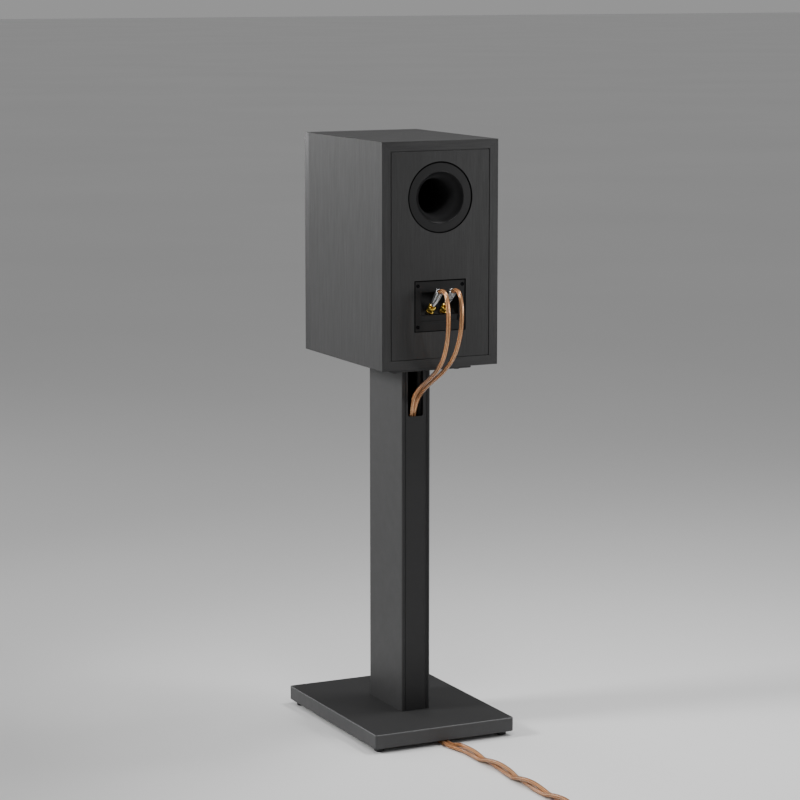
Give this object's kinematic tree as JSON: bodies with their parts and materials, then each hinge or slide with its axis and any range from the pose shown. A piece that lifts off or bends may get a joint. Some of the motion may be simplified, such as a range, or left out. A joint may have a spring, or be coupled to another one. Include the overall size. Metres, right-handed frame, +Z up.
{
  "type": "bookshelf speaker on stand",
  "caption": "Two-way ported bookshelf speaker bolted on a single-column floor stand, with knurled binding posts and a twin speaker cable led through the column.",
  "frame": {"origin": "on the floor under the middle of the stand's base plate", "axes": "+Z up; -Y is the front, with the drivers; +Y is the rear, with the port and the terminals; +X across"},
  "size_m": [0.2684, 0.966, 0.9675],
  "materials": {
    "cabinet_vinyl": "dark wood-grain vinyl, fine vertical grain",
    "rear_vinyl": "dark wood-grain vinyl",
    "baffle_paint": "satin black",
    "bare_board": "raw fibreboard",
    "wadding": "loose polyester",
    "black_moulding": "fine moulded texture",
    "black_steel": "blackened",
    "gold_plate": "bright plated",
    "green_board": "solder mask",
    "copper_winding": "enamelled",
    "capacitor_skin": "wrapped film",
    "ceramic": "fired ceramic",
    "white_nylon": "natural nylon",
    "wire_insulation": "thin insulation",
    "basket_paint": "powder coat",
    "surround_rubber": "satin butyl",
    "cone": "mineral-filled polymer, satin",
    "spider_cloth": "treated cloth",
    "zinc_steel": "zinc plated",
    "ferrite": "sintered",
    "dome_silk": "coated silk",
    "foam": "closed-cell foam",
    "stand_paint": "fine-textured satin powder coat",
    "foot_rubber": "moulded",
    "clear_sleeve": "clear moulding",
    "plated_plug": "plated",
    "cable_clear": "clear jacket over bare copper strands"
  },
  "bodies": {
    "speaker_and_stand": {"cabinet_side_left": "cabinet_vinyl", "cabinet_side_right": "cabinet_vinyl", "cabinet_top_panel": "cabinet_vinyl", "cabinet_bottom_panel": "cabinet_vinyl", "rear_panel": "rear_vinyl", "front_baffle": "baffle_paint", "cabinet_brace": "bare_board", "damping_wadding": "wadding", "port_flare": "black_moulding", "port_tube": "black_moulding", "terminal_cup": "black_moulding", "terminal_screws": "black_steel", "binding_post_studs": "gold_plate", "binding_post_insulators": "black_moulding", "binding_post_rear_hardware": "zinc_steel", "crossover_board": "green_board", "crossover_inductors": "copper_winding", "crossover_capacitors": "capacitor_skin", "crossover_resistors": "ceramic", "crossover_standoffs": "white_nylon", "internal_wiring": "wire_insulation", "woofer_basket": "basket_paint", "woofer_trim_ring": "black_moulding", "woofer_surround": "surround_rubber", "woofer_spider": "spider_cloth", "woofer_top_plate": "zinc_steel", "woofer_magnet": "ferrite", "woofer_yoke": "zinc_steel", "tweeter_faceplate": "black_moulding", "tweeter_surround": "dome_silk", "tweeter_top_plate": "zinc_steel", "tweeter_magnet": "ferrite", "tweeter_yoke": "zinc_steel", "driver_screws": "black_steel", "driver_gaskets": "foam", "stand_top_plate": "stand_paint", "stand_isolation_pads": "foot_rubber", "speaker_fixing_screws": "black_steel", "threaded_inserts": "zinc_steel", "stand_column": "stand_paint", "stand_column_cover": "stand_paint", "stand_base_plate": "stand_paint", "stand_column_bolts": "black_steel", "stand_feet": "foot_rubber", "banana_plug_contacts": "plated_plug", "banana_plug_sleeves": "clear_sleeve", "cable_lead_positive": "cable_clear", "cable_lead_negative": "cable_clear", "cable_floor_pair": "cable_clear", "cable_coil": "cable_clear", "far_banana_plugs": "clear_sleeve"},
    "woofer_moving": {"woofer_cone": "cone", "woofer_dust_cap": "cone", "woofer_voice_coil": "copper_winding"},
    "tweeter_moving": {"tweeter_dome": "dome_silk", "tweeter_voice_coil": "copper_winding"},
    "post_washer_positive": {"binding_post_washer_positive": "gold_plate"},
    "post_nut_positive": {"binding_post_nut_positive": "gold_plate"},
    "post_washer_negative": {"binding_post_washer_negative": "gold_plate"},
    "post_nut_negative": {"binding_post_nut_negative": "gold_plate"}
  },
  "joints": [
    {"name": "woofer_cone_travel", "type": "slide", "parent": "speaker_and_stand", "child": "woofer_moving", "axis": [0, -1, 0], "range_m": [-0.006, 0.006], "stiffness_N_per_m": 1200, "deforming": ["woofer_surround", "woofer_spider"]},
    {"name": "tweeter_dome_travel", "type": "slide", "parent": "speaker_and_stand", "child": "tweeter_moving", "axis": [0, -1, 0], "range_m": [-0.0004, 0.0004], "stiffness_N_per_m": 2000, "deforming": ["tweeter_surround"]},
    {"name": "positive_clamp_travel", "type": "slide", "parent": "speaker_and_stand", "child": "post_washer_positive", "axis": [0, 0.7071, 0.7071], "range_m": [0, 0.0035]},
    {"name": "positive_nut_turn", "type": "hinge", "parent": "post_washer_positive", "child": "post_nut_positive", "pos_m": [0.0118, 0.1315, 0.6964], "axis": [0, 0.7071, 0.7071], "range_deg": [0, 1260.01]},
    {"name": "negative_clamp_travel", "type": "slide", "parent": "speaker_and_stand", "child": "post_washer_negative", "axis": [0, 0.7071, 0.7071], "range_m": [0, 0.0035]},
    {"name": "negative_nut_turn", "type": "hinge", "parent": "post_washer_negative", "child": "post_nut_negative", "pos_m": [-0.0118, 0.1315, 0.6964], "axis": [0, 0.7071, 0.7071], "range_deg": [0, 1260.01]}
  ],
  "couplings": [
    {"joint": "positive_nut_turn", "follows": "positive_clamp_travel", "rad_per_m": 6283.2},
    {"joint": "negative_nut_turn", "follows": "negative_clamp_travel", "rad_per_m": 6283.2}
  ]
}
